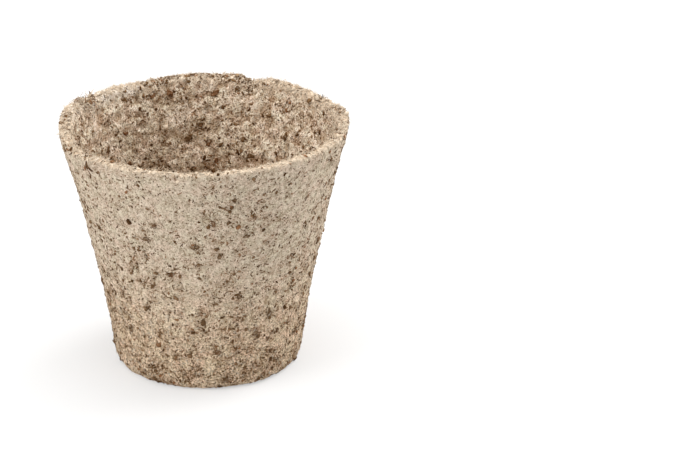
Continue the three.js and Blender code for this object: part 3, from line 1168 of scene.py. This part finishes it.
# What each family of fibres and crumbs is mixed from, as shares of tones
FIBRE_MIX = [(0.25, PALE_TONE), (0.45, STRAW_TONE), (0.25, TAN_TONE), (0.05, BROWN_TONE)]
INNER_MIX = [(0.3, CREAM_TONE), (0.35, PALE_TONE), (0.2, TAN_TONE), (0.15, BROWN_TONE)]
LIP_MIX = [(0.5, CREAM_TONE), (0.35, PALE_TONE), (0.15, STRAW_TONE)]
FUZZ_MIX = [(0.5, WHITE_TONE), (0.4, CREAM_TONE), (0.1, PALE_TONE)]
TUFT_MIX = [(0.5, CREAM_TONE), (0.2, TAN_TONE), (0.1, RUST_TONE), (0.2, UMBER_TONE)]
DARK_MIX = [(0.3, DARK_TONE), (0.3, UMBER_TONE), (0.3, BROWN_TONE), (0.1, RUST_TONE)]
HUSK_MIX = [(0.15, DARK_TONE), (0.4, UMBER_TONE), (0.39, BROWN_TONE), (0.06, RUST_TONE)]
# The grit is dark husk made darker still: partly painted shade, standing for the shade in the felt's pits
GRIT_AND_PIT_SHADE_MIX = [(0.45, DARK_TONE), (0.4, UMBER_TONE), (0.15, BROWN_TONE)]
PALE_MIX = [(0.35, TAN_TONE), (0.4, PALE_TONE), (0.25, CREAM_TONE)]
STRAW_MIX = [(0.3, TAN_TONE), (0.5, STRAW_TONE), (0.2, PALE_TONE)]
# Crumbs on the palest stretch of the rim: white and cream, partly painted highlight
PALEST_AND_LIT_MIX = [(0.6, WHITE_TONE), (0.4, CREAM_TONE)]
RIM_MIX = [
    (0.02, DARK_TONE), (0.05, BROWN_TONE), (0.02, RUST_TONE),
    (0.2, STRAW_TONE), (0.46, PALE_TONE), (0.25, CREAM_TONE),
]

# Families of fibres, with the ranges of their lengths and thicknesses
FINE = (0.08, 0.15)
STROKE = (0.2, 0.38)
FUZZ = {"length": (0.8, 1.8), "thick": (0.06, 0.1), "loose": 1.5, "mix": FUZZ_MIX, "lifted": 1.0}
FIBRE_FAMILIES = [
    dict(name="outer_wall_fibres", where=on_outer_wall, count=5000, seed=11, length=(1.0, 3.0), thick=FINE,
         loose=0.3, mix=FIBRE_MIX, lifted=0.2),
    dict(name="inner_wall_fibres", where=on_inner_wall, count=7400, seed=12, length=(1.2, 3.6), thick=FINE,
         loose=0.8, mix=INNER_MIX),
    dict(name="rim_fibres", where=on_rim, count=1500, seed=13, length=(0.8, 2.4), thick=FINE,
         loose=0.3, mix=LIP_MIX),
    dict(name="rim_fuzz", where=on_rim, count=1300, seed=17, length=(0.5, 1.3), thick=FINE,
         loose=0.9, mix=LIP_MIX, lifted=1.0),
    dict(name="back_right_fuzz", where=on_rim_between(28, 67), count=260, seed=34, **FUZZ),
    dict(name="back_left_fuzz", where=on_rim_between(118, 140), count=160, seed=35, **FUZZ),
    dict(name="rim_tuft", where=on_rim_between(146, 160), count=90, seed=16, length=(1.6, 3.2),
         thick=(0.14, 0.28), loose=2.6, mix=TUFT_MIX, lifted=0.8),
    dict(name="left_rim_fuzz", where=on_rim_between(140, 215), count=240, seed=36, **FUZZ),
    dict(name="right_rim_fuzz", where=on_rim_between(-25, 28), count=170, seed=37, **FUZZ),
    dict(name="back_rim_fuzz", where=on_rim_between(64, 120, 2.2), count=260, seed=38, length=(0.6, 1.6),
         thick=FINE, loose=1.1, mix=LIP_MIX, lifted=1.0),
    dict(name="base_fibres", where=on_base, count=700, seed=14, length=(1.0, 3.0), thick=FINE,
         loose=0.0, mix=FIBRE_MIX),
    dict(name="dark_wall_strokes", where=on_walls, count=1200, seed=18, length=(0.6, 1.8), thick=STROKE,
         loose=0.2, mix=DARK_MIX, lifted=0.2),
    dict(name="dark_rim_strokes", where=on_rim, count=80, seed=19, length=(0.8, 2.2), thick=STROKE,
         loose=0.5, mix=DARK_MIX),
    dict(name="left_rim_strokes", where=on_rim_between(150, 218), count=20, seed=31, length=(2.4, 4.0),
         thick=(0.38, 0.6), loose=0.2, mix=DARK_MIX),
    dict(name="right_rim_curls", where=on_rim_between(-18, 14), count=28, seed=32, length=(2.0, 3.4),
         thick=(0.22, 0.36), loose=0.5, mix=DARK_MIX, lifted=0.4, bend=0.9),
    dict(name="right_rim_slivers", where=on_rim_between(26, 30), count=5, seed=33, length=(2.0, 3.0),
         thick=(0.2, 0.32), loose=2.4, mix=DARK_MIX, lifted=1.0, bend=0.1),
]

set_camera()
white_stage()
studio_light()
felt = felt_material()
strand = coir_material("coir_strand", OUTER_TONE_STOPS, STRAND_WEAR)
husk = coir_material("husk_crumb", TONE_STOPS, CRUMB_WEAR)
outer_husk = coir_material("outer_husk_crumb", OUTER_TONE_STOPS, CRUMB_WEAR)

# Families of crumbs, with their middle sizes; they share one run of random draws, so their order counts
CRUMB_FAMILIES = [
    dict(name="outer_wall_crumbs", places=strewn(on_outer_wall, clustered, 8000), size=0.56, spread=0.5,
         mix=HUSK_MIX, material=outer_husk),
    dict(name="inner_wall_crumbs", places=strewn(on_inner_wall, clustered, 8000), size=0.6, spread=0.46,
         mix=HUSK_MIX, material=husk),
    dict(name="outer_wall_granules", places=strewn(on_outer_wall, everywhere, 6000), size=0.6, spread=0.35,
         mix=STRAW_MIX, material=husk),
    dict(name="inner_wall_flakes", places=strewn(on_inner_wall, clustered, 900), size=1.1, spread=0.3,
         mix=GRIT_AND_PIT_SHADE_MIX, material=husk),
    dict(name="inner_wall_granules", places=strewn(on_inner_wall, everywhere, 5000), size=0.75, spread=0.35,
         mix=PALE_MIX, material=husk),
    # Dark grit, partly painted shade for the felt's pits
    dict(name="outer_wall_grit", places=strewn(on_outer_wall, gritty, 9500), size=0.36, spread=0.35,
         mix=GRIT_AND_PIT_SHADE_MIX, material=outer_husk),
    dict(name="inner_wall_grit", places=strewn(on_inner_wall, gritty, 8500), size=0.42, spread=0.35,
         mix=GRIT_AND_PIT_SHADE_MIX, material=husk),
    dict(name="rim_crumbs", places=strewn(on_rim, everywhere, 2600), size=0.75, spread=0.42,
         mix=RIM_MIX, material=husk),
    dict(name="back_rim_crumbs", places=strewn(on_rim_between(68, 118), everywhere, 320), size=0.8,
         spread=0.4, mix=DARK_MIX, material=husk),
    dict(name="left_rim_crumbs", places=strewn(on_rim_between(140, 216), everywhere, 130), size=0.75,
         spread=0.4, mix=DARK_MIX, material=husk),
    dict(name="right_rim_crumbs", places=strewn(on_rim_between(-24, 18), everywhere, 110), size=0.75,
         spread=0.4, mix=DARK_MIX, material=husk),
    dict(name="base_crumbs", places=strewn(on_base, clustered, 1100), size=0.6, spread=0.55,
         mix=HUSK_MIX, material=husk),
    dict(name="base_grit", places=strewn(on_base, gritty, 1400), size=0.38, spread=0.35,
         mix=GRIT_AND_PIT_SHADE_MIX, material=husk),
    dict(name="chip_crumbs", places=beside_chips(12, 1.0), size=0.6, spread=0.35,
         mix=HUSK_MIX, material=husk),
    dict(name="chip_cover", places=beside_chips(9, 0.75), size=0.55, spread=0.35,
         mix=STRAW_MIX, material=husk),
    dict(name="clump_crumbs", places=in_clumps(16, 0.8), size=0.8, spread=0.35,
         mix=HUSK_MIX, material=husk),
    # Pale crumbs on the palest stretch of the rim, partly painted highlight
    dict(name="pale_rim_crumbs", places=strewn(on_rim_between(116, 170, 2.4), everywhere, 520), size=0.6,
         spread=0.4, mix=PALEST_AND_LIT_MIX, material=husk),
    dict(name="back_pale_crumbs", places=strewn(on_rim_between(66, 120, 1.6), everywhere, 130), size=0.6,
         spread=0.4, mix=LIP_MIX, material=husk),
]

skin = skin_of(felt_shell(felt))
bed_chips()
for family in FIBRE_FAMILIES:
    lay_strands(skin, strand, **family)
crumb_draws = random.Random(CRUMB_SEED)
for family in CRUMB_FAMILIES:
    lay_crumbs(skin, crumb_draws, **family)
